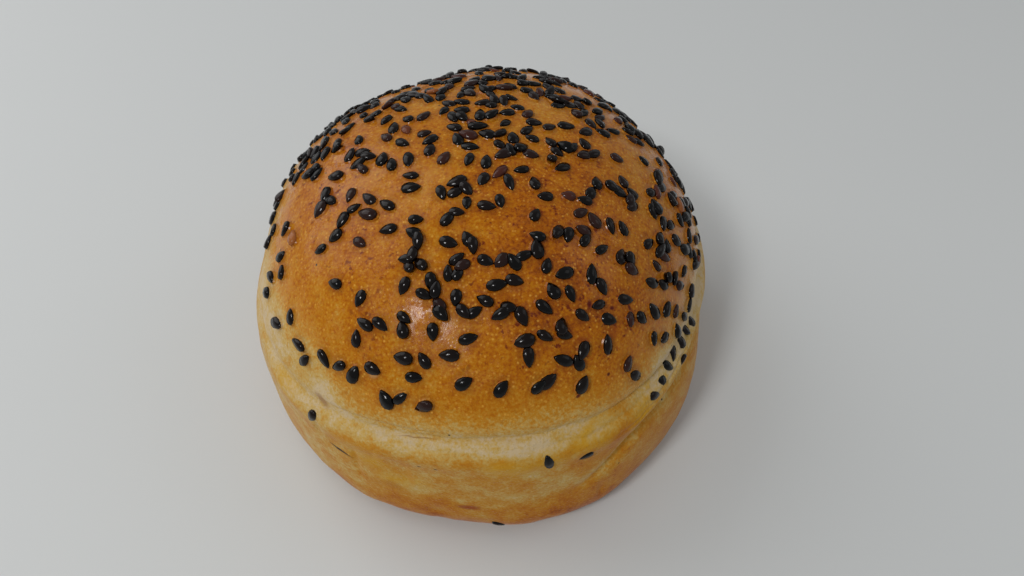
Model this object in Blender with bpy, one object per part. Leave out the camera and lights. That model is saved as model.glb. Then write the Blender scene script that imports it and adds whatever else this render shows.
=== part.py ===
"""Brioche burger bun with black sesame seeds, in metres, +Z up, standing on z = 0.

The bun is one solid. A glazed dome ends in a crease, a pale stretched band lies under the
crease, and a browned foot rolls under to the flat base. The seeds are baked onto the dome,
so one union fuses them to it. The bun's front is towards -Y.
"""

import math

import bmesh
import bpy
import numpy as np
from mathutils import Matrix, Vector

MM = 0.001

# The bun as a whole
BUN_RADIUS = 46.0 * MM
BUN_HEIGHT = 54.0 * MM
WIDEST_HEIGHT = 8.0 * MM
BASE_RADIUS = 41.5 * MM
# Powers of the dome's superellipse: 2 is an ellipse, more is squarer
DOME_POWER_ACROSS = 2.25
DOME_POWER_UP = 2.5

# Heights of the two lines that run round the flank
CREASE_HEIGHT = 27.2 * MM
CREASE_WAVE = 2.2 * MM
CREASE_WAVE_COUNT = 3
CREASE_CREST = math.radians(8)
FOLD_LOW_HEIGHT = 12.0 * MM
FOLD_HIGH_HEIGHT = 20.5 * MM
# Angles from the front where the fold starts to climb towards the crease, and where it is up and ends
FOLD_START = math.radians(16)
FOLD_TOP = math.radians(40)
FOLD_END = math.radians(68)
FOLD_FADE = math.radians(18)
# The crease is faint at the left of the bun
FAINT_CREASE_ANGLE = math.radians(-85)
FAINT_CREASE_HALF_WIDTH = math.radians(45)
FAINT_CREASE_LOSS = 0.7

# Relief of the flank: depths and heights, and the half widths of their bell curves
CREASE_DEPTH = 0.75 * MM
CREASE_HALF_WIDTH = 1.3 * MM
LIP_HEIGHT = 0.9 * MM
LIP_DROP = 3.8 * MM
LIP_HALF_WIDTH = 2.6 * MM
FOLD_DEPTH = 1.2 * MM
FOLD_HALF_WIDTH = 1.5 * MM

# Unevenness of the outline: waves round the bun, share of the radius, angle of a crest
CAP_WAVES = ((2, 0.041, 1.36), (3, 0.023, 0.82), (5, 0.0125, 0.06))
FOOT_WAVES = (
    (2, 0.021, 1.52),
    (3, 0.015, 0.81),
    (4, 0.011, 0.565),
    (5, 0.006, 0.47),
    (6, 0.0085, 0.43),
    (7, 0.0115, -0.33),
)

# Sesame seeds
SEED_LENGTH = 3.15 * MM
SEED_WIDTH = 1.95 * MM
SEED_THICKNESS = 0.95 * MM
SEED_TAPER = 0.35
SEED_SIZE_SPREAD = 0.07
SEED_LIFT = 0.10 * MM
PILED_LIFT = 0.20 * MM
SEED_COUNT = 296
SEED_SPACING = 2.25 * MM
PILED_SPACING = 1.3 * MM
PILED_SHARE = 0.35
# Seeds lie out to this share of the crease's radius, and further out by a rim on the right
SEED_REACH = 0.95
RIM_REACH = 0.04
RIM_ANGLE = math.radians(78)
RIM_HALF_WIDTH = math.radians(42)
RANDOM_SEED = 71
# How thickly the seeds lie, as a share of the thickest, and patches where it is more or less:
# x, y and half width in millimetres, then the change
SEED_COVER = 0.34
SEED_PATCHES = (
    (-27, -20, 13, -0.22),
    (-42, -10, 10, -0.18),
    (-14, -6, 6, -0.12),
    (24, 6, 8, -0.12),
    (4, 3, 13, 0.24),
    (8, 32, 13, 0.30),
    (-29, 31, 11, 0.55),
    (46, -4, 11, 1.50),
    (42, -19, 8, 1.60),
)
# Seeds that rolled down to the flank: degrees from the front towards +X, and height in millimetres
STRAY_SEEDS = (
    (67, 24.0),
    (63, 24.5),
    (59, 24.5),
    (56, 22.5),
    (54, 25.0),
    (50, 25.0),
    (46, 25.0),
    (42, 24.5),
    (22, 23.0),
    (14, 25.0),
    (4, 4.0),
    (-38, 22.5),
)

# Facets
SEGMENTS = 48
CAP_RINGS = 10
BAND_RINGS = 3
FOOT_RINGS = 4
BASE_RINGS = 2
GROOVE_SHOULDER = 1.5 * MM
SEED_SEGMENTS = 5
SEED_RINGS = 3
SMOOTH_ANGLE = math.radians(35)
# Steps over which the skin's slope under a seed is read
SLOPE_STEP = 0.4 * MM

CRUST_COLOUR = (0.45, 0.19, 0.035, 1.0)
CRUST_ROUGHNESS = 0.42


def smooth_step(low, high, value):
    """0 below low, 1 above high, with an S curve between them."""
    share = min(max((value - low) / (high - low), 0.0), 1.0)
    return share * share * (3 - 2 * share)


def bell(distance, half_width):
    """1 at no distance, falling to nothing like a bell curve."""
    return math.exp(-((distance / half_width) ** 2))


def from_front(azimuth):
    """The angle from the front of the bun, -Y, turning towards +X, within half a turn."""
    return math.remainder(azimuth + math.pi / 2, 2 * math.pi)


def waves(azimuth, table):
    """1 plus a sum of cosines round the bun."""
    return 1 + sum(size * math.cos(count * (azimuth - crest)) for count, size, crest in table)


def crease_height(azimuth):
    """Where the glazed dome ends, a line with a slow wave."""
    return CREASE_HEIGHT + CREASE_WAVE * math.cos(CREASE_WAVE_COUNT * (from_front(azimuth) - CREASE_CREST))


def crease_strength(azimuth):
    """How sharp the crease is there: full at the front and right, faint at the left."""
    return 1 - FAINT_CREASE_LOSS * bell(from_front(azimuth) - FAINT_CREASE_ANGLE, FAINT_CREASE_HALF_WIDTH)


def fold_height(azimuth):
    """Top of the browned foot, which climbs towards the crease on the right."""
    front = from_front(azimuth)
    climb = smooth_step(FOLD_START, FOLD_TOP, front) - smooth_step(FOLD_END, math.pi, front)
    return FOLD_LOW_HEIGHT + (FOLD_HIGH_HEIGHT - FOLD_LOW_HEIGHT) * climb


def fold_strength(azimuth):
    """How deep the fold is there, from 0 to 1."""
    front = from_front(azimuth)
    rise = smooth_step(FOLD_START, FOLD_START + FOLD_FADE, front)
    return rise * (1 - smooth_step(FOLD_END, FOLD_END + FOLD_FADE, front))


def flank_radius(height):
    """Radius of the even bun at a height: a superellipse above its widest ring, a round foot below."""
    if height >= WIDEST_HEIGHT:
        share = (height - WIDEST_HEIGHT) / (BUN_HEIGHT - WIDEST_HEIGHT)
        return BUN_RADIUS * max(1 - share**DOME_POWER_UP, 0.0) ** (1 / DOME_POWER_ACROSS)
    drop = 1 - height / WIDEST_HEIGHT
    return BASE_RADIUS + (BUN_RADIUS - BASE_RADIUS) * math.sqrt(max(1 - drop * drop, 0.0))


def relief(azimuth, height):
    """How far the crease, the lip under it and the fold move the flank outwards."""
    below = crease_height(azimuth) - height
    out = -CREASE_DEPTH * crease_strength(azimuth) * bell(below, CREASE_HALF_WIDTH)
    out += LIP_HEIGHT * crease_strength(azimuth) * bell(below - LIP_DROP, LIP_HALF_WIDTH)
    out -= FOLD_DEPTH * fold_strength(azimuth) * bell(height - fold_height(azimuth), FOLD_HALF_WIDTH)
    return out


def skin_point(azimuth, height):
    """The bun's skin at an angle round it and a height."""
    foot_share = 1 - smooth_step(FOLD_LOW_HEIGHT, CREASE_HEIGHT, height)
    cap, foot = waves(azimuth, CAP_WAVES), waves(azimuth, FOOT_WAVES)
    radius = flank_radius(height) * (cap + (foot - cap) * foot_share) + relief(azimuth, height)
    return Vector((radius * math.cos(azimuth), radius * math.sin(azimuth), height))


def dome_height(turn):
    """Height on the dome at a turn from the crown: 0 is the crown and pi / 2 the widest ring."""
    return WIDEST_HEIGHT + (BUN_HEIGHT - WIDEST_HEIGHT) * math.cos(turn) ** (2 / DOME_POWER_UP)


def dome_turn(height):
    """The turn from the crown that gives this height."""
    share = (height - WIDEST_HEIGHT) / (BUN_HEIGHT - WIDEST_HEIGHT)
    return math.acos(share ** (DOME_POWER_UP / 2))


def ring_heights(azimuth):
    """Heights of the rings of vertices down to the base's edge. They follow the crease and the fold."""
    crease, fold = crease_height(azimuth), fold_height(azimuth)
    cap_end = dome_turn(crease + GROOVE_SHOULDER)
    heights = [dome_height(cap_end * ring / CAP_RINGS) for ring in range(CAP_RINGS + 1)]
    heights.append(crease)
    band_top, band_end = crease - GROOVE_SHOULDER, fold + GROOVE_SHOULDER
    heights += [band_top + (band_end - band_top) * ring / BAND_RINGS for ring in range(BAND_RINGS + 1)]
    heights.append(fold)
    foot_top = fold - GROOVE_SHOULDER
    heights += [foot_top * (1 - math.sin(ring / FOOT_RINGS * math.pi / 2)) for ring in range(FOOT_RINGS + 1)]
    return heights


def linked_object(name, mesh, collection):
    made = bpy.data.objects.new(name, mesh)
    collection.objects.link(made)
    return made


def crust_material():
    """Egg-washed crust, browned and softly glossy."""
    material = bpy.data.materials.new("egg_washed_crust")
    material.use_nodes = True
    shader = material.node_tree.nodes["Principled BSDF"]
    shader.inputs["Base Color"].default_value = CRUST_COLOUR
    shader.inputs["Roughness"].default_value = CRUST_ROUGHNESS
    return material


def bun_body(collection):
    """The bun without its seeds: a sphere whose rings are moved onto the skin, the last ones in the base."""
    skin_rings = len(ring_heights(0.0)) - 1
    rings = skin_rings + BASE_RINGS
    work = bmesh.new()
    bmesh.ops.create_uvsphere(work, u_segments=SEGMENTS, v_segments=rings, radius=1.0)
    for vertex in work.verts:
        ring = round(math.acos(max(-1.0, min(1.0, vertex.co.z))) / math.pi * rings)
        azimuth = math.atan2(vertex.co.y, vertex.co.x)
        height = ring_heights(azimuth)[min(ring, skin_rings)]
        inwards = max(ring - skin_rings, 0) / BASE_RINGS
        vertex.co = skin_point(azimuth, height) * (1 - inwards)
    mesh = bpy.data.meshes.new("bun")
    work.to_mesh(mesh)
    work.free()
    return linked_object("bun", mesh, collection)


def seed_cover(x, y):
    """Share of falling seeds that stick at a place in plan."""
    cover = SEED_COVER
    for patch_x, patch_y, half_width, change in SEED_PATCHES:
        cover += change * bell(math.hypot(x - patch_x * MM, y - patch_y * MM), half_width * MM)
    return cover


def seed_edge(azimuth):
    """How far out seeds lie on the even bun."""
    reach = SEED_REACH + RIM_REACH * bell(from_front(azimuth) - RIM_ANGLE, RIM_HALF_WIDTH)
    return reach * flank_radius(crease_height(azimuth))


def sprinkled_places():
    """Azimuth, height and lift of each seed on the dome. They fall evenly in plan, and some pile up."""
    draw = np.random.default_rng(RANDOM_SEED)
    places = []
    landed = np.empty((0, 3))
    while len(places) < SEED_COUNT:
        x, y = draw.uniform(-BUN_RADIUS, BUN_RADIUS, 2)
        sticks, piles = draw.uniform(size=2)
        azimuth = math.atan2(y, x)
        across = math.hypot(x, y) / waves(azimuth, CAP_WAVES)
        if across > seed_edge(azimuth) or sticks > seed_cover(x, y):
            continue
        height = dome_height(math.asin((across / BUN_RADIUS) ** (DOME_POWER_ACROSS / 2)))
        spot = np.array(skin_point(azimuth, height))
        nearest = min(np.linalg.norm(landed - spot, axis=1), default=BUN_RADIUS)
        if nearest < (PILED_SPACING if piles < PILED_SHARE else SEED_SPACING):
            continue
        landed = np.append(landed, [spot], axis=0)
        places.append((azimuth, height, PILED_LIFT if nearest < SEED_SPACING else SEED_LIFT))
    return places


def stray_places():
    """Azimuth, height and lift of the seeds on the flank, which are pressed in a little deeper."""
    return [(math.radians(front - 90), height * MM, 0.0) for front, height in STRAY_SEEDS]


def seed_stand(bun, azimuth, height):
    """A matrix that stands a seed on the bun: its Z is the skin's normal, its origin on the facet there."""
    point = skin_point(azimuth, height)
    along = (skin_point(azimuth + SLOPE_STEP / BUN_RADIUS, height) - point).normalized()
    down = skin_point(azimuth, height - SLOPE_STEP) - point
    normal = down.cross(along).normalized()
    stand = Matrix((along, normal.cross(along), normal)).transposed().to_4x4()
    stand.translation = bun.closest_point_on_mesh(point)[1]
    return stand


def seed_mesh():
    """A flat drop: a sphere drawn out to a blunt tip at +X."""
    work = bmesh.new()
    bmesh.ops.create_uvsphere(work, u_segments=SEED_SEGMENTS, v_segments=SEED_RINGS, radius=1.0)
    # The few sides lie half inside and half outside the true oval
    ring_radius = math.sin(math.pi / SEED_RINGS) * (1 + math.cos(math.pi / SEED_SEGMENTS)) / 2
    for vertex in work.verts:
        x, y, z = vertex.co
        taper = 1 - SEED_TAPER * x / ring_radius
        vertex.co = (
            x / ring_radius * SEED_LENGTH / 2,
            y / ring_radius * taper * SEED_WIDTH / 2,
            z * SEED_THICKNESS / 2,
        )
    mesh = bpy.data.meshes.new("sesame_seed")
    work.to_mesh(mesh)
    work.free()
    return mesh


def add_seeds(bun, collection):
    """Every seed as its own object, sharing one mesh."""
    draw = np.random.default_rng(RANDOM_SEED)
    mesh = seed_mesh()
    for azimuth, height, lift in stray_places() + sprinkled_places():
        turn = draw.uniform(0, 2 * math.pi)
        size = 1 + SEED_SIZE_SPREAD * draw.standard_normal()
        seed = linked_object("seed", mesh, collection)
        seed.matrix_world = (
            seed_stand(bun, azimuth, height)
            @ Matrix.Translation((0, 0, lift))
            @ Matrix.Rotation(turn, 4, "Z")
            @ Matrix.Scale(size, 4)
        )


def fuse(bun, seeds):
    """Joins the seeds to the bun with one union, and removes them."""
    bpy.context.view_layer.update()
    join = bun.modifiers.new("fuse_seeds", "BOOLEAN")
    join.operation = "UNION"
    join.operand_type = "COLLECTION"
    join.collection = seeds
    join.solver = "EXACT"
    fused = bpy.data.meshes.new_from_object(bun.evaluated_get(bpy.context.evaluated_depsgraph_get()))
    bun.modifiers.clear()
    bun.data = fused
    for seed in list(seeds.objects):
        bpy.data.objects.remove(seed)
    bpy.data.collections.remove(seeds)


def centre(bun):
    """Moves the middle of the bun's box over the origin."""
    corners = [Vector(corner) for corner in bun.bound_box]
    middle = (corners[0] + corners[6]) / 2
    bun.data.transform(Matrix.Translation((-middle.x, -middle.y, 0)))


def main():
    for old in list(bpy.data.objects):
        bpy.data.objects.remove(old)
    bun_parts = bpy.data.collections.new("brioche_bun")
    seeds = bpy.data.collections.new("sesame_seeds")
    bpy.context.scene.collection.children.link(bun_parts)
    bpy.context.scene.collection.children.link(seeds)
    bun = bun_body(bun_parts)
    add_seeds(bun, seeds)
    fuse(bun, seeds)
    centre(bun)
    bun.data.materials.clear()
    bun.data.materials.append(crust_material())
    bun.data.shade_smooth()
    bun.data.set_sharp_from_angle(angle=SMOOTH_ANGLE)


main()
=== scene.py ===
"""Looks of the brioche burger bun: crust, sesame seeds, glaze, a pale floor, soft light and a camera."""

import math

import bpy
import numpy as np
from mathutils import Matrix


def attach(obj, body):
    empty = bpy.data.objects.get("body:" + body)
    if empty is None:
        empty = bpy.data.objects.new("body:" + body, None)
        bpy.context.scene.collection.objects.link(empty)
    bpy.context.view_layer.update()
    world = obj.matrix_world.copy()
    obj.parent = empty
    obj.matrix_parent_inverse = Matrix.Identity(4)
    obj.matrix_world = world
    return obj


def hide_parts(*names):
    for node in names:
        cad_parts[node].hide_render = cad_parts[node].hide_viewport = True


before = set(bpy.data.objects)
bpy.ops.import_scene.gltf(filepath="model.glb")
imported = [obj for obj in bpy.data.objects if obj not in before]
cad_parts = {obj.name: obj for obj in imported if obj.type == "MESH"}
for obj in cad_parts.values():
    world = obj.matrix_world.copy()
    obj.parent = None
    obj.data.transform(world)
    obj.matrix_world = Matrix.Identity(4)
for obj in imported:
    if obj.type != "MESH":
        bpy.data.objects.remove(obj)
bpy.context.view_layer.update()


# The form of the bun
#
# An enriched dough ball, proofed and baked on a tray. The dome rose and browned, the side
# stretched late and stayed pale, and the foot browned on the tray. Lengths are in millimetres.

BUN_RADIUS = 46.0
BUN_HEIGHT = 54.0
WIDEST_HEIGHT = 8.0
BASE_RADIUS = 41.5
# Powers of the dome's superellipse: 2 is an ellipse, more is squarer
DOME_POWER_ACROSS = 2.25
DOME_POWER_UP = 2.5

CREASE_HEIGHT = 27.2
CREASE_WAVE = 2.2
CREASE_WAVE_COUNT = 3
CREASE_CREST = math.radians(8)
FOLD_LOW_HEIGHT = 12.0
FOLD_HIGH_HEIGHT = 20.5
# Angles from the front where the fold starts to climb, and where it is up and ends
FOLD_START = math.radians(16)
FOLD_TOP = math.radians(40)
FOLD_END = math.radians(68)
FOLD_FADE = math.radians(18)
FAINT_CREASE_ANGLE = math.radians(-85)
FAINT_CREASE_HALF_WIDTH = math.radians(45)
FAINT_CREASE_LOSS = 0.7

CREASE_DEPTH = 0.75
CREASE_HALF_WIDTH = 1.3
LIP_HEIGHT = 0.9
LIP_DROP = 3.8
LIP_HALF_WIDTH = 2.6
FOLD_DEPTH = 1.2
FOLD_HALF_WIDTH = 1.5
# The step for slopes on the skin, and the height of the last slope under the crown
SKIN_STEP = 0.4
CROWN_HEIGHT = BUN_HEIGHT - 0.02

# Waves round the outline: how many, share of the radius, angle of a crest
CAP_WAVES = ((2, 0.041, 1.36), (3, 0.023, 0.82), (5, 0.0125, 0.06))
FOOT_WAVES = (
    (2, 0.021, 1.52),
    (3, 0.015, 0.81),
    (4, 0.011, 0.565),
    (5, 0.006, 0.47),
    (6, 0.0085, 0.43),
    (7, 0.0115, -0.33),
)

# Fine wrinkles by the crease: degrees from the front, half span in degrees, millimetres
# above the crease, slope in millimetres a radian, and depth
WRINKLES = (
    (-22, 12, 0.9, 0.0, 0.25),
    (2, 22, -0.1, 0.6, 0.45),
    (-14, 10, -1.5, -2.0, 0.22),
    (27, 16, -1.6, 1.0, 0.35),
    (44, 14, 0.3, -0.6, 0.45),
    (50, 12, -2.4, 1.6, 0.35),
    (62, 12, -1.2, 1.0, 0.35),
    (38, 9, -3.6, 3.0, 0.25),
    (150, 30, -0.3, 0.5, 0.35),
    (-150, 25, -0.6, -0.8, 0.3),
)
WRINKLE_HALF_WIDTH = 0.32
WRINKLE_SWAY = ((0.35, 3.5, 4),)
# Upright tucks in the side: degrees from the front, height, half width, half length and depth
TUCKS = (
    (-27, 16.5, 0.55, 3.2, 0.55),
    (-37, 20.5, 0.5, 1.8, 0.4),
    (27, 9.0, 0.5, 2.4, 0.4),
    (-9, 7.5, 1.6, 1.6, 0.35),
    (118, 15.0, 0.6, 3.0, 0.5),
    (-128, 13.0, 0.6, 2.6, 0.45),
)
TUCK_SWAY = ((0.5, 3.0, 5),)
# Lumps of the skin and of its lower edge: strength, size and lattice number
LUMPS = ((0.32, 15, 1), (0.14, 6.5, 2), (0.05, 2.4, 3))
EDGE_LUMPS = ((0.35, 7, 6), (0.15, 3, 7))
EDGE_HEIGHT = 3.0
EDGE_HALF_WIDTH = 3.5
# The relief fades out over this height above the flat base
BASE_FADE = 1.6


def smooth_step(low, high, value):
    """0 below low, 1 above high, with an S curve between them."""
    share = np.clip((value - low) / (high - low), 0, 1)
    return share * share * (3 - 2 * share)


def bell(distance, half_width):
    """1 at no distance, falling to nothing like a bell curve."""
    return np.exp(-((distance / half_width) ** 2))


def cloud(points, size, number):
    """Smooth random values from -1 to 1 in space.

    The corners of a lattice of that size have random values, others for each number, and S curves
    blend them.
    """
    lattice = np.random.default_rng(number).uniform(-1, 1, (32, 32, 32))
    place = points / size
    corner = np.floor(place).astype(int)
    share = place - corner
    share = share * share * (3 - 2 * share)
    total = np.zeros(points.shape[:-1])
    for step in np.ndindex(2, 2, 2):
        weight = np.where(step, share, 1 - share).prod(axis=-1)
        x, y, z = np.moveaxis((corner + step) % 32, -1, 0)
        total += weight * lattice[x, y, z]
    return total


def clouds(points, layers):
    """A sum of clouds, each given by its strength, size in millimetres and lattice number."""
    return sum(strength * cloud(points, size, number) for strength, size, number in layers)


def from_front(azimuth):
    """The angle from the front, -Y, turning towards +X, within half a turn."""
    return np.mod(azimuth + 1.5 * np.pi, 2 * np.pi) - np.pi


def waves(azimuth, table):
    """1 plus a sum of cosines round the bun."""
    return 1 + sum(size * np.cos(count * (azimuth - crest)) for count, size, crest in table)


def crease_height(azimuth):
    """Where the glazed dome ends, a line with a slow wave."""
    return CREASE_HEIGHT + CREASE_WAVE * np.cos(CREASE_WAVE_COUNT * (from_front(azimuth) - CREASE_CREST))


def crease_strength(azimuth):
    """How sharp the crease is there: full at the front and right, faint at the left."""
    return 1 - FAINT_CREASE_LOSS * bell(from_front(azimuth) - FAINT_CREASE_ANGLE, FAINT_CREASE_HALF_WIDTH)


def fold_height(azimuth):
    """Top of the browned foot, which climbs towards the crease on the right."""
    front = from_front(azimuth)
    climb = smooth_step(FOLD_START, FOLD_TOP, front) - smooth_step(FOLD_END, np.pi, front)
    return FOLD_LOW_HEIGHT + (FOLD_HIGH_HEIGHT - FOLD_LOW_HEIGHT) * climb


def fold_strength(azimuth):
    """How deep the fold is there, from 0 to 1."""
    front = from_front(azimuth)
    rise = smooth_step(FOLD_START, FOLD_START + FOLD_FADE, front)
    return rise * (1 - smooth_step(FOLD_END, FOLD_END + FOLD_FADE, front))


def flank_radius(height):
    """Radius of the even bun: a superellipse above its widest ring, a round foot below."""
    share = np.clip((height - WIDEST_HEIGHT) / (BUN_HEIGHT - WIDEST_HEIGHT), 0, 1)
    dome = BUN_RADIUS * (1 - share**DOME_POWER_UP) ** (1 / DOME_POWER_ACROSS)
    drop = np.clip(1 - height / WIDEST_HEIGHT, 0, 1)
    return dome - (BUN_RADIUS - BASE_RADIUS) * (1 - np.sqrt(1 - drop * drop))


def skin_point(azimuth, height):
    """The skin before its fine relief: flank radius, times the waves, plus the crease, lip and fold."""
    foot_share = 1 - smooth_step(FOLD_LOW_HEIGHT, CREASE_HEIGHT, height)
    cap, foot = waves(azimuth, CAP_WAVES), waves(azimuth, FOOT_WAVES)
    below = crease_height(azimuth) - height
    radius = flank_radius(height) * (cap + (foot - cap) * foot_share)
    radius = radius - CREASE_DEPTH * crease_strength(azimuth) * bell(below, CREASE_HALF_WIDTH)
    radius += LIP_HEIGHT * crease_strength(azimuth) * bell(below - LIP_DROP, LIP_HALF_WIDTH)
    radius -= FOLD_DEPTH * fold_strength(azimuth) * bell(height - fold_height(azimuth), FOLD_HALF_WIDTH)
    level = height * np.ones_like(azimuth)
    return np.stack([radius * np.cos(azimuth), radius * np.sin(azimuth), level], axis=-1)


def unit(vectors):
    """The vectors at a length of 1."""
    return vectors / np.linalg.norm(vectors, axis=-1, keepdims=True)


def skin_sides(azimuth, height):
    """Unit vectors along the skin, level and to the left, and out of it, from two small steps on the skin."""
    height = np.minimum(height, CROWN_HEIGHT)
    point = skin_point(azimuth, height)
    along = unit(skin_point(azimuth + SKIN_STEP / BUN_RADIUS, height) - point)
    drop = np.minimum(SKIN_STEP, 0.4 * (BUN_HEIGHT - height) + 0.01)
    down = skin_point(azimuth, height - drop) - point
    return along, unit(np.cross(down, along))


def fine_relief(azimuth, height):
    """How far the real skin lies outside the even one: lumps, wrinkles, tucks and a rough lower edge."""
    point = skin_point(azimuth, height)
    front = from_front(azimuth)
    out = clouds(point, LUMPS)
    above = height - crease_height(azimuth)
    sway = clouds(point, WRINKLE_SWAY)
    for angle, span, rise, slope, depth in WRINKLES:
        turn = from_front(front - np.radians(angle) - np.pi / 2)
        line = rise + slope * turn + sway
        out -= depth * bell(above - line, WRINKLE_HALF_WIDTH) * bell(turn, np.radians(span))
    sway = clouds(point, TUCK_SWAY)
    for angle, middle, half_width, half_length, depth in TUCKS:
        turn = from_front(front - np.radians(angle) - np.pi / 2)
        out -= depth * bell(turn * BUN_RADIUS + sway, half_width) * bell(height - middle, half_length)
    out += bell(height - EDGE_HEIGHT, EDGE_HALF_WIDTH) * clouds(point, EDGE_LUMPS)
    return out * smooth_step(0, BASE_FADE, height)


def crust_point(azimuth, height):
    """The finished skin: the even one, moved along its normal by the fine relief."""
    outwards = skin_sides(azimuth, height)[1]
    return skin_point(azimuth, height) + outwards * fine_relief(azimuth, height)[..., None]


# The sesame seeds' places
#
# Black sesame falls on the egg wash before baking. Most seeds lie flat on the dome, some in
# clumps, and a few roll down and are pinched by the side as it stretches.

SEED_COUNT = 540
SEED_SPACING = 2.25
PILED_SPACING = 1.3
PILED_SHARE = 0.35
# Seeds lie out to this share of the crease's radius, and further out by a rim on the right
SEED_REACH = 0.95
RIM_REACH = 0.04
RIM_ANGLE = math.radians(78)
RIM_HALF_WIDTH = math.radians(42)
RANDOM_SEED = 71
SEED_COVER = 0.34
# Patches with more or fewer seeds: x, y, half width, and the change in cover
SEED_PATCHES = (
    (-27, -20, 13, -0.22),
    (-42, -10, 10, -0.18),
    (-14, -6, 6, -0.12),
    (24, 6, 8, -0.12),
    (4, 3, 13, 0.24),
    (8, 32, 13, 0.30),
    (-29, 31, 11, 0.55),
    (46, -4, 11, 1.50),
    (42, -19, 8, 1.60),
)
# Seeds on the flank: degrees from the front towards +X, and height
STRAY_SEEDS = (
    (67, 24.0),
    (63, 24.5),
    (59, 24.5),
    (56, 22.5),
    (54, 25.0),
    (50, 25.0),
    (46, 25.0),
    (42, 24.5),
    (22, 23.0),
    (14, 25.0),
    (4, 4.0),
    (-38, 22.5),
)


def seed_cover(x, y):
    """Share of falling seeds that stick at a place in plan."""
    return SEED_COVER + sum(c * bell(math.hypot(x - px, y - py), half) for px, py, half, c in SEED_PATCHES)


def seed_edge(azimuth):
    """How far out seeds lie on the even bun: a share of the crease's radius, and more at the right."""
    reach = SEED_REACH + RIM_REACH * bell(from_front(azimuth) - RIM_ANGLE, RIM_HALF_WIDTH)
    return reach * flank_radius(crease_height(azimuth))


def sprinkled_places():
    """Azimuth, height and distance to the nearest for each seed of the dome.

    Seeds fall evenly in plan, stick as often as the cover there says, and some pile up.
    """
    draw = np.random.default_rng(RANDOM_SEED)
    places = []
    landed = np.empty((0, 3))
    while len(places) < SEED_COUNT:
        x, y = draw.uniform(-BUN_RADIUS, BUN_RADIUS, 2)
        sticks, piles = draw.uniform(size=2)
        azimuth = math.atan2(y, x)
        across = math.hypot(x, y) / waves(azimuth, CAP_WAVES)
        if across > seed_edge(azimuth) or sticks > seed_cover(x, y):
            continue
        turn = math.asin((across / BUN_RADIUS) ** (DOME_POWER_ACROSS / 2))
        height = WIDEST_HEIGHT + (BUN_HEIGHT - WIDEST_HEIGHT) * math.cos(turn) ** (2 / DOME_POWER_UP)
        spot = skin_point(azimuth, height)
        nearest = min(np.linalg.norm(landed - spot, axis=1), default=BUN_RADIUS)
        if nearest < (PILED_SPACING if piles < PILED_SHARE else SEED_SPACING):
            continue
        landed = np.append(landed, [spot], axis=0)
        places.append((azimuth, height, nearest))
    return places


strays = [(math.radians(angle - 90), height, BUN_RADIUS) for angle, height in STRAY_SEEDS]
seed_azimuth, seed_height, seed_nearest = np.array(strays + sprinkled_places()).T
is_stray = np.arange(len(seed_azimuth)) < len(strays)
seed_foot = crust_point(seed_azimuth, seed_height)


# The crust
#
# Brushed with beaten egg and baked: a thin glossy skin over fine grain, golden to red-brown on
# the dome, cream and straw where the side stretched late, tan again at the foot.

CRUST_SEGMENTS = 540
CAP_RINGS = 100
CREASE_RINGS = 20
BAND_RINGS = 22
FOLD_RINGS = 10
FOOT_RINGS = 22
BASE_RINGS = 7
GROOVE_SHOULDER = 2.0
FOLD_SHOULDER = 1.5
MM = 0.001


def ring_heights(azimuth):
    """Heights of the mesh's rings, from crown to base, as rows that follow the crease and the fold."""
    crease, fold = crease_height(azimuth), fold_height(azimuth)
    cap_top = (crease + GROOVE_SHOULDER - WIDEST_HEIGHT) / (BUN_HEIGHT - WIDEST_HEIGHT)
    turn = np.arccos(cap_top ** (DOME_POWER_UP / 2)) * np.linspace(0, 1, CAP_RINGS + 1)[:, None]
    cap = WIDEST_HEIGHT + (BUN_HEIGHT - WIDEST_HEIGHT) * np.cos(turn) ** (2 / DOME_POWER_UP)
    stops = [crease + GROOVE_SHOULDER, crease - GROOVE_SHOULDER, fold + FOLD_SHOULDER, fold - FOLD_SHOULDER]
    rows = [cap]
    for top, end, count in zip(stops, stops[1:], (CREASE_RINGS, BAND_RINGS, FOLD_RINGS)):
        share = np.linspace(0, 1, count + 1)[1:, None]
        rows.append(top + (end - top) * share)
    share = np.linspace(0, 1, FOOT_RINGS + 1)[1:, None]
    rows.append(stops[-1] * (1 - np.sin(share * np.pi / 2)))
    return np.concatenate(rows)


around = np.arange(CRUST_SEGMENTS) * 2 * np.pi / CRUST_SEGMENTS
heights = ring_heights(around)[1:]
angles = np.broadcast_to(around, heights.shape)
skin = crust_point(angles, heights)
# The middle of the bun's box stands over the origin
to_middle = -(skin.max(axis=(0, 1)) + skin.min(axis=(0, 1))) / 2 * (1, 1, 0)


def mesh_object(name, points, faces, attributes):
    """Makes a smooth mesh object from points in millimetres, faces, and one float attribute for each name."""
    mesh = bpy.data.meshes.new(name)
    mesh.from_pydata((points + to_middle) * MM, [], faces)
    for label, values in attributes.items():
        mesh.attributes.new(label, "FLOAT", "POINT").data.foreach_set("value", np.asarray(values, np.float32))
    mesh.shade_smooth()
    mesh.update()
    made = bpy.data.objects.new(name, mesh)
    bpy.context.scene.collection.objects.link(made)
    return made


def grid_faces(rows, columns):
    """Quads between the rows of a grid whose last column meets its first."""
    row, column = np.mgrid[0 : rows - 1, 0:columns]
    above, below = row * columns, (row + 1) * columns
    beside = (column + 1) % columns
    corners = [above + column, below + column, below + beside, above + beside]
    return np.stack(corners, axis=-1).reshape(-1, 4)


# Left of the front the pale side reaches higher up the dome: millimetres, and the degrees between
# which it starts and ends
PALE_RISE = 8.0
PALE_START = (-18, -46)
PALE_END = (-105, -150)
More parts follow.
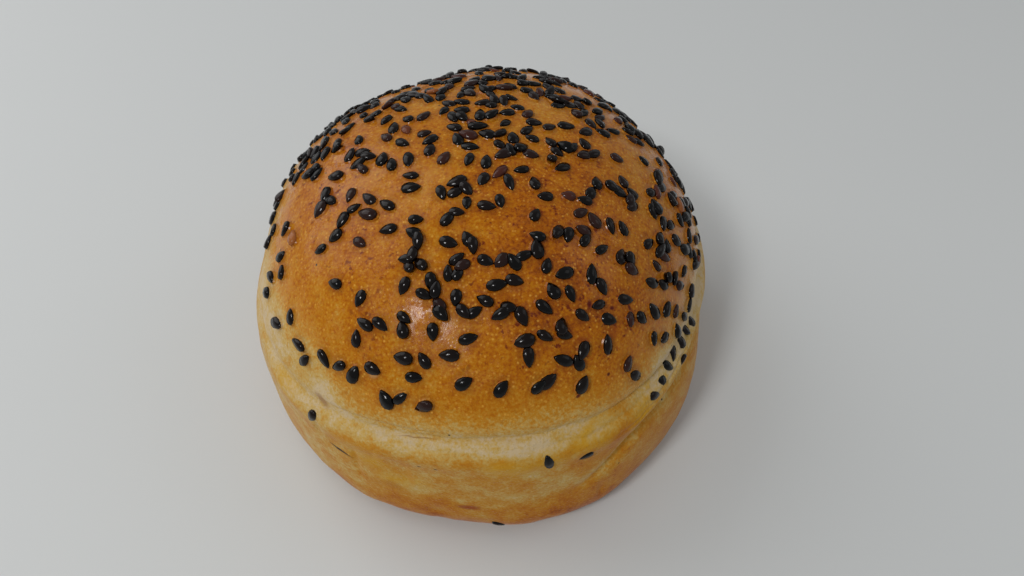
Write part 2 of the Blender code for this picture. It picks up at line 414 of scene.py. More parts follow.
# On the right a cream fan runs a little way up the rim: millimetres, and the degrees between which it
# starts and ends
FAN_RISE = 2.6
FAN_START = (36, 50)
FAN_END = (74, 92)
# The dome's edge is this far over the crease, and blurred by this much, more at the left and the right
EDGE_RISE = 0.3
EDGE_BLUR = 0.9
PALE_BLUR = 3.0
FAN_BLUR = 1.0
# The bake, from 0 to 1: the dome's at its edge, and its rises with the millimetres over the edge
# between which each comes
DOME_BAKE = 0.24
DOME_RISES = ((0.28, -0.5, 7), (0.10, 5, 13))
# The side's bake, what it loses in the fan, and what it gains, less so at the left, under the pale
# strip, which ends between two heights over the crease
SIDE_BAKE = 0.13
FAN_PALING = 0.09
LOWER_BROWNING = 0.24
LOWER_LEFT_LOSS = 0.5
STRIP_END = (-1.3, -3.8)
# The foot's bake, what it loses at the left, and what it gains by the tray, between two heights,
# and the painted shade that darkens the foot under the fold, full at a height under the foot's top
FOOT_BAKE = 0.31
LEFT_PALING = 0.10
TRAY_BROWNING = 0.12
TRAY_REACH = (10, 4)
FOLD_PAINTED_SHADE = 0.10
FOLD_SHADE_END = -3
# The browned foot ends at this height and over this span, and is cut off shorter by the fold
BROWN_TOP = 18.0
BROWN_SPAN = (4.0, -3.0)
FOLD_CUT = 2.5
# The strip under the dome is tan between the fan and the front, in degrees
TAN_ANGLE = 31
TAN_HALF_WIDTH = 8
TAN_BROWNING = 0.20
# The lowest part is scorched a little all round and most at the front, in degrees, between two heights
SCORCH_ANGLE = 10
SCORCH_HALF_WIDTH = 32
SCORCH_BROWNING = 0.20
SCORCH_ROUND = 0.05
SCORCH_REACH = (15, 10.5)
# Blotches of each zone: strength, size and lattice number
EDGE_BLOTCHES = ((0.9, 6, 21), (0.5, 2, 22))
DOME_BLOTCHES = ((0.06, 9, 23), (0.04, 3.5, 24))
SIDE_BLOTCHES = ((0.11, 6, 25), (0.07, 2.2, 31))
FOOT_BLOTCHES = ((0.10, 5, 26), (0.07, 1.8, 32))
BROWN_TOP_BLOTCHES = ((1.6, 6, 27),)
YELLOW_BLOTCHES = ((0.35, 3, 28),)
# Shares of a yellow patch's reach between which it fades
YELLOW_FADE = (1.5, 0.1)
# Darker, redder and lighter areas of the dome: x, y, half width and change of bake
DOME_PATCHES = (
    (9, -27, 8, 0.15),
    (18, -27, 10, 0.05),
    (21, -29, 5, 0.08),
    (25, -16, 11, 0.06),
    (8, -14, 12, 0.11),
    (6, -38, 7, 0.05),
    (-24, -26, 12, 0.04),
    (-6, 19, 17, -0.07),
    (-27, -2, 13, 0.09),
    (32, 14, 14, -0.05),
)
# Butter-yellow patches of the side: degrees from the front, height, half width, half height and strength
YELLOW_PATCHES = (
    (-49, 22.5, 4.5, 3.0, 0.75),
    (-25, 20.0, 5.0, 3.0, 0.9),
    (-15, 15.5, 5.0, 2.2, 0.8),
    (10, 24.0, 8.0, 2.6, 0.9),
    (24, 26.0, 5.5, 2.6, 0.8),
    (38, 24.5, 4.5, 2.4, 0.7),
    (105, 19.0, 9.0, 3.0, 0.7),
    (150, 21.0, 8.0, 3.0, 0.6),
    (-100, 20.0, 10.0, 3.0, 0.6),
    (-150, 22.0, 7.0, 3.0, 0.7),
)


def colour_zones(azimuth, height, point):
    """How browned, how yellow and how glazed the crust is, from 0 to 1; the browning also holds painted shade
    under the fold on the right.

    Each zone is a level plus S curves of the height over the crease, bell curves round the bun and
    clouds, and the zones are blended by S curves.
    """
    front = from_front(azimuth)
    degrees = np.degrees(front)
    above = height - crease_height(azimuth)
    x, y = point[..., 0], point[..., 1]
    rises = smooth_step(*PALE_START, degrees) * smooth_step(*PALE_END[::-1], degrees)
    fans = smooth_step(*FAN_START, degrees) * smooth_step(*FAN_END[::-1], degrees)
    edge = above - PALE_RISE * rises - FAN_RISE * fans
    edge += clouds(point, EDGE_BLOTCHES)
    blur = EDGE_BLUR + PALE_BLUR * rises + FAN_BLUR * smooth_step(*FAN_START, degrees)
    on_cap = smooth_step(-blur, blur, edge - EDGE_RISE)
    dome = DOME_BAKE + sum(gain * smooth_step(low, high, edge) for gain, low, high in DOME_RISES)
    for patch_x, patch_y, half_width, change in DOME_PATCHES:
        dome += change * bell(np.hypot(x - patch_x, y - patch_y), half_width)
    dome += clouds(point, DOME_BLOTCHES)
    climb = (fold_height(azimuth) - FOLD_LOW_HEIGHT) / (FOLD_HIGH_HEIGHT - FOLD_LOW_HEIGHT)
    over_foot = height - (BROWN_TOP + climb * (FOLD_HIGH_HEIGHT - BROWN_TOP))
    folded = fold_strength(azimuth)
    side = SIDE_BAKE - FAN_PALING * fans
    side += LOWER_BROWNING * smooth_step(*STRIP_END, above) * (1 - LOWER_LEFT_LOSS * rises)
    side += TAN_BROWNING * bell(degrees - TAN_ANGLE, TAN_HALF_WIDTH)
    side += clouds(point, SIDE_BLOTCHES)
    scorched = SCORCH_ROUND + SCORCH_BROWNING * bell(degrees - SCORCH_ANGLE, SCORCH_HALF_WIDTH)
    foot = FOOT_BAKE - LEFT_PALING * rises + scorched * smooth_step(*SCORCH_REACH, height)
    foot += clouds(point, FOOT_BLOTCHES)
    foot += TRAY_BROWNING * smooth_step(*TRAY_REACH, height)
    # Painted shade: the foot under the fold on the right is darkened as if the fold shaded it
    foot += FOLD_PAINTED_SHADE * folded * smooth_step(0, FOLD_SHADE_END, over_foot)
    blotched = over_foot + clouds(point, BROWN_TOP_BLOTCHES)
    on_foot = smooth_step(BROWN_SPAN[0], BROWN_SPAN[1] + FOLD_CUT * folded, blotched)
    flank = side + (foot - side) * on_foot
    bake_and_shade = flank + (dome - flank) * on_cap
    yellow = np.zeros_like(height)
    blotches = clouds(point, YELLOW_BLOTCHES)
    for angle, middle, half_width, half_height, strength in YELLOW_PATCHES:
        turn = from_front(front - np.radians(angle) - np.pi / 2) * BUN_RADIUS
        reach = np.hypot(turn / half_width, (height - middle) / half_height) + blotches
        yellow = np.maximum(yellow, strength * smooth_step(*YELLOW_FADE, reach))
    return np.clip(bake_and_shade, 0, 1), yellow * (1 - on_cap), on_cap


# Millimetres from a seed's middle between which the glaze that pooled at its foot thins out
POOL_START = 1.1
POOL_END = 2.5


def nearness_to_seeds(point):
    """1 at a seed's foot, falling to 0 about a millimetre beyond it, and the most that any seed gives."""
    near = np.zeros(len(point))
    for foot in seed_foot:
        close = np.flatnonzero(np.abs(point - foot).max(axis=1) < POOL_END)
        distance = np.linalg.norm(point[close] - foot, axis=1)
        near[close] = np.maximum(near[close], smooth_step(POOL_END, POOL_START, distance))
    return near


rim = skin[-1]
floor_rings = [rim * (1 - ring / BASE_RINGS) for ring in range(1, BASE_RINGS)]
crown = np.array([[0, 0, BUN_HEIGHT + fine_relief(np.zeros(1), np.full(1, CROWN_HEIGHT))[0]]])
grid = np.concatenate([skin, floor_rings]).reshape(-1, 3)
crust_points = np.concatenate([grid, crown, [[0, 0, 0]]])
rows = len(grid) // CRUST_SEGMENTS
top_index, bottom_index = len(grid), len(grid) + 1
next_round = np.roll(np.arange(CRUST_SEGMENTS), -1)
last_row = (rows - 1) * CRUST_SEGMENTS
top_fan = [(top_index, i, j) for i, j in zip(range(CRUST_SEGMENTS), next_round)]
bottom_fan = [(bottom_index, last_row + j, last_row + i) for i, j in zip(range(CRUST_SEGMENTS), next_round)]
crust_faces = grid_faces(rows, CRUST_SEGMENTS).tolist() + top_fan + bottom_fan

point_azimuth = np.arctan2(crust_points[:, 1], crust_points[:, 0])
bake_and_shade, yellow, glazed = colour_zones(point_azimuth, crust_points[:, 2], crust_points)
crust = mesh_object(
    "bun_crust",
    crust_points,
    crust_faces,
    {"bake_and_shade": bake_and_shade, "yellow": yellow, "glazed": glazed, "near_seed": nearness_to_seeds(crust_points)},
)


def linear(hex_colour):
    """The linear colour of an sRGB hex value."""
    parts = [int(hex_colour[i : i + 2], 16) / 255 for i in (1, 3, 5)]
    return [p / 12.92 if p <= 0.04045 else ((p + 0.055) / 1.055) ** 2.4 for p in parts] + [1.0]


def add_node(tree, kind, inputs=None, **settings):
    """Adds a node, sets its properties, and fills its inputs with values or with other nodes' outputs."""
    node = tree.nodes.new(kind)
    for name, value in settings.items():
        setattr(node, name, value)
    for name, value in (inputs or {}).items():
        if isinstance(value, bpy.types.NodeSocket):
            tree.links.new(value, node.inputs[name])
        else:
            node.inputs[name].default_value = value
    return node


def set_ramp(node, stops):
    """Gives a colour ramp its stops, each a position and a hex colour."""
    elements = node.color_ramp.elements
    while len(elements) > 1:
        elements.remove(elements[-1])
    elements[0].position = stops[0][0]
    elements[0].color = linear(stops[0][1])
    for position, colour in stops[1:]:
        elements.new(position).color = linear(colour)


# From late-stretched dough to the darkest bake
BAKE_COLOURS = (
    (0.00, "#C8B088"),
    (0.18, "#C2A058"),
    (0.40, "#BC8222"),
    (0.60, "#B46E06"),
    (0.78, "#A45802"),
    (1.00, "#783404"),
)
BUTTER_YELLOW = "#C8961C"
POOLED_GLAZE = "#7C3E0A"
PORE_BROWN = "#6A240A"
BLISTER_GOLD = "#E0A440"
# Cell size, radius, share of cells that have one, and colour of the small spots
SPOTS = (
    (4.5, 0.20, 0.5, "#2A140A"),
    (8.5, 0.45, 0.35, "#7A2A12"),
    (5.0, 0.28, 0.3, "#CC9C5C"),
)
# Radii between which a spot fades in
SPOT_FADE = (1.3, 0.6)
# Sizes of the crust's patterns in millimetres, and how far three of them swing the bake
GRAIN_SIZE = 0.55
FILM_SIZE = 3.4
PORE_SIZE = 1.3
BLISTER_SIZE = 0.62
MOTTLE_SIZE = 3.2
STREAK_SIZE = 4.5
GRAIN_SWING = 0.95
MOTTLE_SWING = 0.42
STREAK_SWING = 0.8
# Share of the grain that shows without glaze, and of the pooled glaze's colour that shows
PLAIN_GRAIN = 0.7
POOL_STRENGTH = 0.35
# Parts of the bumps, and how much roughness the smooth film takes away
GRAIN_RISE = 1.0
BLISTER_RISE = 0.7
MOTTLE_RISE = 1.6
FILM_SMOOTHING = 0.39
# How far single marks are frayed and how deep they reach, in millimetres
MARK_FRAY = 0.8
MARK_DEPTH = 2.0
# Single marks: degrees from the front, height, half length, half width, tilt in degrees, colour, strength
MARKS = (
    (-31, 17.0, 2.3, 0.32, -8, "#2A140A", 1.0),
    (-12.0, 27.8, 3.4, 0.13, 13, "#7A4A20", 0.5),
    (-2, 10.8, 2.0, 0.9, 0, "#8A2F12", 0.75),
    (-61, 49.5, 1.5, 0.85, 10, "#B9773A", 0.55),
    (-36, 26.5, 1.7, 1.0, -35, "#9C7650", 0.8),
    (31, 43.5, 0.75, 0.35, 60, "#56100A", 0.95),
    (37, 41.6, 0.42, 0.40, 0, "#56100A", 0.95),
    (-18.5, 13.5, 1.5, 1.2, 0, "#B07626", 0.65),
    (-11.5, 22.6, 0.4, 0.25, 0, "#3A200F", 0.9),
    (-8.0, 22.9, 0.35, 0.25, 0, "#3A200F", 0.9),
    (-23, 36.0, 0.8, 0.6, 20, "#D8B078", 0.4),
    (42, 40.0, 0.28, 0.55, 0, "#56100A", 0.9),
    (22, 34.0, 0.50, 0.35, 20, "#56100A", 0.9),
    (30, 34.5, 0.35, 0.30, 0, "#4A0E08", 0.9),
    (34, 39.0, 1.6, 0.9, 25, "#8A3A10", 0.45),
    (26, 40.5, 1.4, 0.8, -15, "#8A3A10", 0.4),
    (-21, 21.5, 1.9, 0.6, 85, "#C8922E", 0.7),
    (-14, 18.0, 3.2, 0.6, 95, "#C48A2C", 0.7),
)

crust_material = bpy.data.materials.new("egg_washed_brioche_crust")
crust_material.use_nodes = True
tree = crust_material.node_tree
shader = tree.nodes["Principled BSDF"]
place = add_node(tree, "ShaderNodeTexCoord").outputs["Object"]
bake_and_shade_read = add_node(tree, "ShaderNodeAttribute", attribute_name="bake_and_shade").outputs["Fac"]
yellow_read = add_node(tree, "ShaderNodeAttribute", attribute_name="yellow").outputs["Fac"]
glazed_read = add_node(tree, "ShaderNodeAttribute", attribute_name="glazed").outputs["Fac"]
near_read = add_node(tree, "ShaderNodeAttribute", attribute_name="near_seed").outputs["Fac"]
grain = add_node(
    tree,
    "ShaderNodeTexNoise",
    {"Vector": place, "Scale": 1 / (GRAIN_SIZE * MM), "Detail": 3.0, "Roughness": 0.65},
)
mottle = add_node(
    tree,
    "ShaderNodeTexNoise",
    {"Vector": place, "Scale": 1 / (MOTTLE_SIZE * MM), "Detail": 3.0, "Roughness": 0.6},
)
grain_shift = add_node(
    tree,
    "ShaderNodeMath",
    {0: grain.outputs["Fac"], 1: GRAIN_SWING, 2: -GRAIN_SWING / 2},
    operation="MULTIPLY_ADD",
).outputs[0]
mottle_shift = add_node(
    tree,
    "ShaderNodeMath",
    {0: mottle.outputs["Fac"], 1: MOTTLE_SWING, 2: -MOTTLE_SWING / 2},
    operation="MULTIPLY_ADD",
).outputs[0]
# The side is streaked where it stretched: the pattern is squeezed upright, and the glaze hides it
stretched = add_node(tree, "ShaderNodeMapping", {"Vector": place, "Scale": (1.0, 1.0, 1.4)})
streaks = add_node(
    tree,
    "ShaderNodeTexNoise",
    {
        "Vector": stretched.outputs[0],
        "Scale": 1 / (STREAK_SIZE * MM),
        "Detail": 4.0,
        "Roughness": 0.7,
        "Distortion": 0.6,
    },
)
streak_shift = add_node(
    tree,
    "ShaderNodeMath",
    {0: streaks.outputs["Fac"], 1: STREAK_SWING, 2: -STREAK_SWING / 2},
    operation="MULTIPLY_ADD",
).outputs[0]
level = add_node(tree, "ShaderNodeMath", {0: bake_and_shade_read, 1: mottle_shift}, operation="ADD").outputs[0]
streaked = add_node(tree, "ShaderNodeMath", {0: level, 1: streak_shift}, operation="ADD").outputs[0]
faint_grain = add_node(
    tree,
    "ShaderNodeMath",
    {0: grain_shift, 1: PLAIN_GRAIN},
    operation="MULTIPLY",
).outputs[0]
plain_level = add_node(tree, "ShaderNodeMath", {0: streaked, 1: faint_grain}, operation="ADD").outputs[0]
glazed_level = add_node(tree, "ShaderNodeMath", {0: level, 1: grain_shift}, operation="ADD").outputs[0]
level = add_node(tree, "ShaderNodeMix", {0: glazed_read, 2: plain_level, 3: glazed_level}).outputs[0]
browned = add_node(tree, "ShaderNodeValToRGB", {"Fac": level})
set_ramp(browned, BAKE_COLOURS)
yellow_kept = add_node(
    tree,
    "ShaderNodeMapRange",
    {"Value": streaks.outputs["Fac"], "From Min": 0.38, "From Max": 0.62, "To Min": 0.35, "To Max": 1.0},
).outputs[0]
yellowed = add_node(tree, "ShaderNodeMath", {0: yellow_read, 1: yellow_kept}, operation="MULTIPLY").outputs[0]
colour = add_node(
    tree,
    "ShaderNodeMix",
    {0: yellowed, 6: browned.outputs["Color"], 7: linear(BUTTER_YELLOW)},
    data_type="RGBA",
).outputs[2]
pooled = add_node(tree, "ShaderNodeMath", {0: near_read, 1: POOL_STRENGTH}, operation="MULTIPLY").outputs[0]
pooled = add_node(tree, "ShaderNodeMath", {0: pooled, 1: glazed_read}, operation="MULTIPLY").outputs[0]
colour = add_node(
    tree,
    "ShaderNodeMix",
    {0: pooled, 6: colour, 7: linear(POOLED_GLAZE)},
    data_type="RGBA",
).outputs[2]

# Blisters under a millimetre wide rise in the baking egg wash, and their thin tops are pale gold
blisters = add_node(tree, "ShaderNodeTexVoronoi", {"Vector": place, "Scale": 1 / (BLISTER_SIZE * MM)})
blister_top = add_node(
    tree,
    "ShaderNodeMapRange",
    {"Value": blisters.outputs["Distance"], "From Min": 0.42, "From Max": 0.10},
).outputs[0]
blister_kept = add_node(
    tree,
    "ShaderNodeMapRange",
    {"Value": blisters.outputs["Color"], "From Min": 0.35, "From Max": 0.95, "To Max": 0.85},
).outputs[0]
gold = add_node(tree, "ShaderNodeMath", {0: blister_top, 1: blister_kept}, operation="MULTIPLY").outputs[0]
gold = add_node(tree, "ShaderNodeMath", {0: gold, 1: glazed_read}, operation="MULTIPLY").outputs[0]
colour = add_node(
    tree,
    "ShaderNodeMix",
    {0: gold, 6: colour, 7: linear(BLISTER_GOLD)},
    data_type="RGBA",
).outputs[2]
# Where the dome browned most, reddish-brown pores show
pores = add_node(
    tree,
    "ShaderNodeTexNoise",
    {"Vector": place, "Scale": 1 / (PORE_SIZE * MM), "Detail": 3.0, "Roughness": 0.6},
)
pore = add_node(
    tree,
    "ShaderNodeMapRange",
    {"Value": pores.outputs["Fac"], "From Min": 0.60, "From Max": 0.68},
).outputs[0]
dark_part = add_node(
    tree,
    "ShaderNodeMapRange",
    {"Value": bake_and_shade_read, "From Min": 0.58, "From Max": 0.72, "To Min": 0.15, "To Max": 0.95},
).outputs[0]
pore = add_node(tree, "ShaderNodeMath", {0: pore, 1: dark_part}, operation="MULTIPLY").outputs[0]
pore = add_node(tree, "ShaderNodeMath", {0: pore, 1: glazed_read}, operation="MULTIPLY").outputs[0]
colour = add_node(
    tree,
    "ShaderNodeMix",
    {0: pore, 6: colour, 7: linear(PORE_BROWN)},
    data_type="RGBA",
).outputs[2]
# Specks of burnt flour, red-brown burst bubbles and pale ones lie here and there
for cell, radius, share, tint in SPOTS:
    cells = add_node(tree, "ShaderNodeTexVoronoi", {"Vector": place, "Scale": 1 / (cell * MM)})
    chosen = add_node(
        tree,
        "ShaderNodeMath",
        {0: cells.outputs["Color"], 1: share},
        operation="LESS_THAN",
    ).outputs[0]
    outside, inside = (radii * radius / cell for radii in SPOT_FADE)
    spot = add_node(
        tree,
        "ShaderNodeMapRange",
        {"Value": cells.outputs["Distance"], "From Min": outside, "From Max": inside},
    ).outputs[0]
    spot = add_node(tree, "ShaderNodeMath", {0: spot, 1: chosen}, operation="MULTIPLY").outputs[0]
    colour = add_node(
        tree,
        "ShaderNodeMix",
        {0: spot, 6: colour, 7: linear(tint)},
        data_type="RGBA",
    ).outputs[2]

# Each mark is an oval on the skin: the Mapping node puts its middle at 0 and its edge at 1
frayed = add_node(
    tree,
    "ShaderNodeVectorMath",
    {0: mottle.outputs["Color"], 1: (MARK_FRAY * MM,) * 3},
    operation="MULTIPLY",
).outputs[0]
frayed = add_node(tree, "ShaderNodeVectorMath", {0: place, 1: frayed}, operation="ADD").outputs[0]
for angle, height, half_length, half_width, tilt, tint, strength in MARKS:
    azimuth = np.radians([angle - 90.0])
    level_side, outwards = skin_sides(azimuth, np.array([height]))
    sides = np.stack([level_side[0], np.cross(outwards[0], level_side[0]), outwards[0]], axis=-1)
    stand = Matrix(sides.tolist()) @ Matrix.Rotation(math.radians(tilt), 3, "Z")
    middle = (crust_point(azimuth, np.array([height]))[0] + to_middle + MARK_FRAY / 2) * MM
    mapped = add_node(
        tree,
        "ShaderNodeMapping",
        {
            "Vector": frayed,
            "Location": middle.tolist(),
            "Rotation": stand.to_euler(),
            "Scale": (half_length * MM, half_width * MM, MARK_DEPTH * MM),
        },
        vector_type="TEXTURE",
    )
    far = add_node(tree, "ShaderNodeVectorMath", {0: mapped.outputs[0]}, operation="LENGTH").outputs["Value"]
    mark = add_node(
        tree,
        "ShaderNodeMapRange",
        {"Value": far, "From Min": 1.25, "From Max": 0.55, "To Max": strength},
    ).outputs[0]
    colour = add_node(
        tree,
        "ShaderNodeMix",
        {0: mark, 6: colour, 7: linear(tint)},
        data_type="RGBA",
    ).outputs[2]
tree.links.new(colour, shader.inputs["Base Color"])

# The egg wash dried to patches of smooth film a few millimetres wide, and there is none on the side
films = add_node(
    tree,
    "ShaderNodeTexNoise",
    {"Vector": place, "Scale": 1 / (FILM_SIZE * MM), "Detail": 5.0, "Roughness": 0.7},
)
film = add_node(
    tree,
    "ShaderNodeMapRange",
    {"Value": films.outputs["Fac"], "From Min": 0.42, "From Max": 0.49},
).outputs[0]
film = add_node(tree, "ShaderNodeMath", {0: film, 1: glazed_read}, operation="MULTIPLY").outputs[0]
dull = add_node(
    tree,
    "ShaderNodeMapRange",
    {"Value": glazed_read, "To Min": 0.66, "To Max": 0.58},
).outputs[0]
roughness = add_node(
    tree,
    "ShaderNodeMath",
    {0: film, 1: -FILM_SMOOTHING, 2: dull},
    operation="MULTIPLY_ADD",
).outputs[0]
tree.links.new(roughness, shader.inputs["Roughness"])
shader.inputs["IOR"].default_value = 1.28
# The dry, faintly floury outer skin is paler where it is seen edge on
shader.inputs["Sheen Weight"].default_value = 0.24
shader.inputs["Sheen Roughness"].default_value = 0.3
shader.inputs["Sheen Tint"].default_value = linear("#FFF0EC")
blister_rise = add_node(
    tree,
    "ShaderNodeMath",
    {0: blister_top, 1: BLISTER_RISE},
    operation="MULTIPLY",
).outputs[0]
relief = add_node(
    tree,
    "ShaderNodeMath",
    {0: grain.outputs["Fac"], 1: GRAIN_RISE, 2: blister_rise},
    operation="MULTIPLY_ADD",
).outputs[0]
relief = add_node(
    tree,
    "ShaderNodeMath",
    {0: mottle.outputs["Fac"], 1: MOTTLE_RISE, 2: relief},
    operation="MULTIPLY_ADD",
).outputs[0]
evened = add_node(tree, "ShaderNodeMapRange", {"Value": film, "To Min": 0.7, "To Max": 0.12}).outputs[0]
bump = add_node(tree, "ShaderNodeBump", {"Height": relief, "Strength": evened, "Distance": 0.12 * MM})
tree.links.new(bump.outputs["Normal"], shader.inputs["Normal"])
crust.data.materials.append(crust_material)
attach(crust, "root")
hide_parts("bun")


# The sesame seeds
#
# Unhulled black sesame: flat drops with a tip, most of them near black, some red-brown where
# the coat is thin. They are glossy where the egg wash reached them.

SEED_LENGTH = 3.15
SEED_WIDTH = 1.95
SEED_THICKNESS = 1.0
SEED_SIZE_SPREAD = 0.07
SEED_SIDES = 12
SEED_RINGS = 4
# How much longer, wider or thicker each seed is than its size gives
SEED_AXIS_SPREAD = 0.06
# Millimetres over the crust, and radians of tilt: most seeds, those in clumps and those on the flank
SEED_LIFT = 0.22
PILED_LIFT = 0.42
STRAY_LIFT = -0.20
LIFT_SPREAD = 0.04
TILT = 0.09
PILED_TILT = 0.22
BROWN_SHARE = 0.18
# Powers of the seed's section, where 1 is an ellipse and less is flatter, and of the tip's narrowing,
# and a divisor that takes back the little width which this one adds
FLATNESS = 0.5
TIP_POWER = 0.24
WIDTH_GAIN = 1.03
# How much thinner a seed is at its tip than in its middle, as a share
TIP_THINNING = 0.25
# Size of the coat's fine grain in millimetres
COAT_GRAIN_SIZE = 0.35


def drop_outline(angle):
    """A drop with its tip at +X: an ellipse narrowed by a power of the distance to the tip."""
    narrowing = np.clip(1 - np.cos(angle), 0, 2) ** TIP_POWER / WIDTH_GAIN
    return np.stack([SEED_LENGTH / 2 * np.cos(angle), SEED_WIDTH / 2 * np.sin(angle) * narrowing], axis=-1)


def seed_form():
    """A seed's points and faces: rings of the drop outline, drawn in towards a flat top and bottom."""
    angle = (np.arange(SEED_SIDES) + 0.5) * 2 * np.pi / SEED_SIDES
    fall = np.linspace(0, np.pi, SEED_RINGS + 1)[1:-1, None]
    plan = drop_outline(angle)[None] * np.sin(fall)[..., None] ** FLATNESS
    level = SEED_THICKNESS / 2 * np.cos(fall) * (1 - TIP_THINNING * plan[..., 0] / (SEED_LENGTH / 2))
    rings = np.concatenate([plan, level[..., None]], axis=-1).reshape(-1, 3)
    points = np.concatenate([rings, [[0, 0, SEED_THICKNESS / 2], [0, 0, -SEED_THICKNESS / 2]]])
    count = len(rings)
    following = np.roll(np.arange(SEED_SIDES), -1)
    faces = grid_faces(SEED_RINGS - 1, SEED_SIDES).tolist()
    last = count - SEED_SIDES
    faces += [(count, i, j) for i, j in zip(range(SEED_SIDES), following)]
    faces += [(count + 1, last + j, last + i) for i, j in zip(range(SEED_SIDES), following)]
    return points, faces


def turning(axis, angle):
    """Matrices that turn by each angle about one axis."""
    cosine, sine, zero, one = np.cos(angle), np.sin(angle), np.zeros_like(angle), np.ones_like(angle)
    if axis == "z":
        entries = [cosine, -sine, zero, sine, cosine, zero, zero, zero, one]
    elif axis == "y":
        entries = [cosine, zero, sine, zero, one, zero, -sine, zero, cosine]
    else:
        entries = [one, zero, zero, zero, cosine, -sine, zero, sine, cosine]
    return np.stack(entries, axis=-1).reshape(-1, 3, 3)


def copies(points, faces, frames, feet, numbers):
    """Points and faces of one form repeated: each copy turned by its frame and moved to its foot."""
    placed = np.einsum("nij,nvj->nvi", frames[numbers], points[numbers]) + feet[numbers][:, None]
    offsets = np.arange(len(numbers)) * points.shape[1]
    joined = [tuple(corner + offset for corner in face) for offset in offsets for face in faces]
    return placed.reshape(-1, 3), joined


draw = np.random.default_rng(RANDOM_SEED)
lying = [(draw.uniform(0, 2 * math.pi), draw.standard_normal()) for number in range(len(seed_foot))]
seed_turn, seed_spread = np.array(lying).T
along, outwards = skin_sides(seed_azimuth, seed_height)
stands = np.stack([along, np.cross(outwards, along), outwards], axis=-1)
piled = seed_nearest < SEED_SPACING
draw = np.random.default_rng(RANDOM_SEED + 1)
tilts = draw.normal(0, 1, (2, len(seed_foot))) * np.where(piled, PILED_TILT, TILT)
flat_frames = stands @ turning("z", seed_turn)
seed_frames = flat_frames @ turning("x", tilts[0]) @ turning("y", tilts[1])
lift = np.where(is_stray, STRAY_LIFT, np.where(piled, PILED_LIFT, SEED_LIFT))
lift = lift + draw.normal(0, LIFT_SPREAD, len(seed_foot))
seed_feet = seed_foot + outwards * lift[:, None]
axis_sizes = 1 + SEED_AXIS_SPREAD * draw.normal(0, 1, (len(seed_foot), 1, 3))
sizes = (1 + SEED_SIZE_SPREAD * seed_spread)[:, None, None] * axis_sizes
tone = draw.uniform(size=len(seed_foot))
form_points, form_faces = seed_form()
all_seeds = form_points[None] * sizes

is_brown = (tone < BROWN_SHARE) & ~is_stray
seed_kinds = {"black_sesame_seeds": ~is_brown, "brown_sesame_seeds": is_brown}
SEED_COLOURS = {
    "black_sesame_seeds": ((0.0, "#140A07"), (1.0, "#040404")),
    "brown_sesame_seeds": (
        (0.0, "#9A5C2C"),
        (0.01, "#703A1E"),
        (0.025, "#4C241A"),
        (0.06, "#321A14"),
        (0.18, "#180E0C"),
    ),
}
for name, chosen in seed_kinds.items():
    numbers = np.flatnonzero(chosen)
    points, faces = copies(all_seeds, form_faces, seed_frames, seed_feet, numbers)
    seeds = mesh_object(name, points, faces, {"tone": np.repeat(tone[numbers], len(form_points))})
    material = bpy.data.materials.new(name.replace("seeds", "coat"))
    material.use_nodes = True
    tree = material.node_tree
    shader = tree.nodes["Principled BSDF"]
    place = add_node(tree, "ShaderNodeTexCoord").outputs["Object"]
    tone_read = add_node(tree, "ShaderNodeAttribute", attribute_name="tone").outputs["Fac"]
    colour = add_node(tree, "ShaderNodeValToRGB", {"Fac": tone_read})
    set_ramp(colour, SEED_COLOURS[name])
    tree.links.new(colour.outputs["Color"], shader.inputs["Base Color"])
    coat_grain = add_node(
        tree,
        "ShaderNodeTexNoise",
        {"Vector": place, "Scale": 1 / (COAT_GRAIN_SIZE * MM), "Detail": 2.0},
    ).outputs["Fac"]
    gloss = add_node(
        tree,
        "ShaderNodeMapRange",
        {"Value": coat_grain, "From Min": 0.3, "From Max": 0.7, "To Min": 0.10, "To Max": 0.20},
    )
    tree.links.new(gloss.outputs[0], shader.inputs["Roughness"])
    shader.inputs["IOR"].default_value = 1.30
    bump = add_node(tree, "ShaderNodeBump", {"Height": coat_grain, "Strength": 0.4, "Distance": 0.04 * MM})
    tree.links.new(bump.outputs["Normal"], shader.inputs["Normal"])
    seeds.data.materials.append(material)
    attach(seeds, "root")
    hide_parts("bun")


# The glaze round the seeds
#
# Egg wash creeps up the side of each seed and sets as a thin amber fillet, which catches the
# light as a bright line at the seed's edge.

COLLAR_SIDES = 16
# Steps out from the seed's outline, and heights over the crust
COLLAR_STEPS = ((-0.10, 0.22), (0.02, 0.09), (0.09, 0.01), (0.20, -0.10))


def collar_form():
    """Rings round the drop outline, each a step further out and lower, as a fillet."""
    angle = (np.arange(COLLAR_SIDES) + 0.5) * 2 * np.pi / COLLAR_SIDES
    outline = drop_outline(angle)
    ahead = np.roll(outline, -1, axis=0) - np.roll(outline, 1, axis=0)
    away = unit(np.stack([ahead[:, 1], -ahead[:, 0]], axis=-1))
    level = np.ones(COLLAR_SIDES)
    rings = [np.column_stack([outline + away * step, height * level]) for step, height in COLLAR_STEPS]
    return np.concatenate(rings)


collar_points = collar_form()[None] * np.where(np.arange(3) < 2, sizes, 1.0)
numbers = np.flatnonzero(~is_stray)
collar_faces = grid_faces(len(COLLAR_STEPS), COLLAR_SIDES).tolist()
points, faces = copies(collar_points, collar_faces, flat_frames, seed_foot, numbers)
collar_bake_and_shade = colour_zones(np.arctan2(points[:, 1], points[:, 0]), points[:, 2], points)[0]
full, none = np.ones(len(points)), np.zeros(len(points))
collars = mesh_object(
    "glaze_fillets",
    points,
    faces,
    {"bake_and_shade": collar_bake_and_shade, "yellow": none, "glazed": full, "near_seed": full},
)
collars.data.materials.append(crust_material)
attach(collars, "root")


# The floor, the light and the camera
#
# A plain pale worktop, a large soft light at the back left, a small one at the front left that
# gives the broken highlight, a weak one at the right, and the camera above the front of the bun.

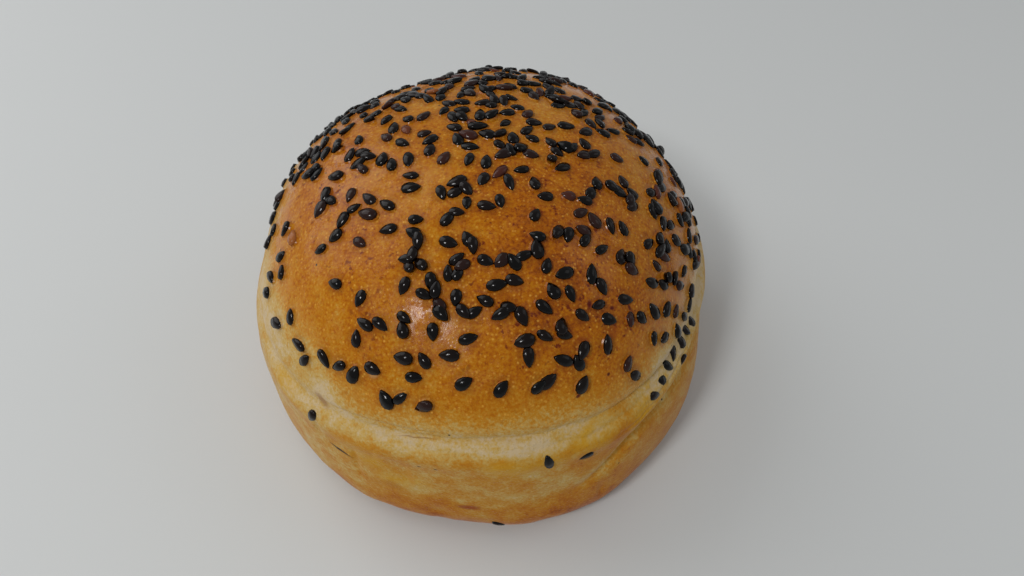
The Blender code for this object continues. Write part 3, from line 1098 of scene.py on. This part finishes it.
FLOOR_REACH = 3.0
floor = bpy.data.objects.new("floor", bpy.data.meshes.new("floor"))
corners = [(x * FLOOR_REACH, y * FLOOR_REACH, 0) for x, y in ((-1, -1), (1, -1), (1, 1), (-1, 1))]
floor.data.from_pydata(corners, [], [(0, 1, 2, 3)])
bpy.context.scene.collection.objects.link(floor)
# Laminate pressed against a matt plate, which leaves it even and blurs what it mirrors to a faint sheen
material = bpy.data.materials.new("pale_laminate")
material.use_nodes = True
shader = material.node_tree.nodes["Principled BSDF"]
shader.inputs["Base Color"].default_value = linear("#D0D2D1")
shader.inputs["Roughness"].default_value = 0.6
floor.data.materials.append(material)


def aimed(name, data, place, target):
    """Adds an object at a place that looks at a target, both in millimetres."""
    made = bpy.data.objects.new(name, data)
    made.location = np.array(place) * MM
    direction = (np.array(place) - np.array(target)) * MM
    level = math.hypot(direction[0], direction[1])
    made.rotation_euler = (math.atan2(level, direction[2]), 0, math.atan2(direction[0], -direction[1]))
    bpy.context.scene.collection.objects.link(made)


# Each softbox has a place and a width in millimetres and a power in watts, and all aim at the bun
LAMP_TARGET = (0, 0, 20)
for name, place, width, power in (
    ("back_left_softbox", (-631, 364, 549), 820, 3.15),
    ("front_left_softbox", (-340, -455, 640), 150, 2.3),
    ("right_softbox", (700, 100, 600), 520, 0.55),
):
    lamp = bpy.data.lights.new(name, "AREA")
    lamp.shape = "SQUARE"
    lamp.size = width * MM
    lamp.energy = power
    aimed(name, lamp, place, LAMP_TARGET)

world = bpy.data.worlds.new("studio")
world.use_nodes = True
world.node_tree.nodes["Background"].inputs["Color"].default_value = linear("#F4F6F8")
world.node_tree.nodes["Background"].inputs["Strength"].default_value = 0.36
bpy.context.scene.world = world

# The view: 48 degrees down on the bun, with 800 pixels of focal length over a width of 1024
LENS = 36 * 800 / 1024
DOWN = math.radians(48)
CAMERA_PLACE = (5.71, -110.15, 137.17)
camera_data = bpy.data.cameras.new("camera")
camera_data.lens = LENS
camera = bpy.data.objects.new("camera", camera_data)
camera.location = (np.array(CAMERA_PLACE) + to_middle) * MM
camera.rotation_euler = (math.pi / 2 - DOWN, 0, 0)
camera_data.clip_start = 0.01
bpy.context.scene.collection.objects.link(camera)
bpy.context.scene.camera = camera
bpy.context.scene.view_settings.view_transform = "Standard"
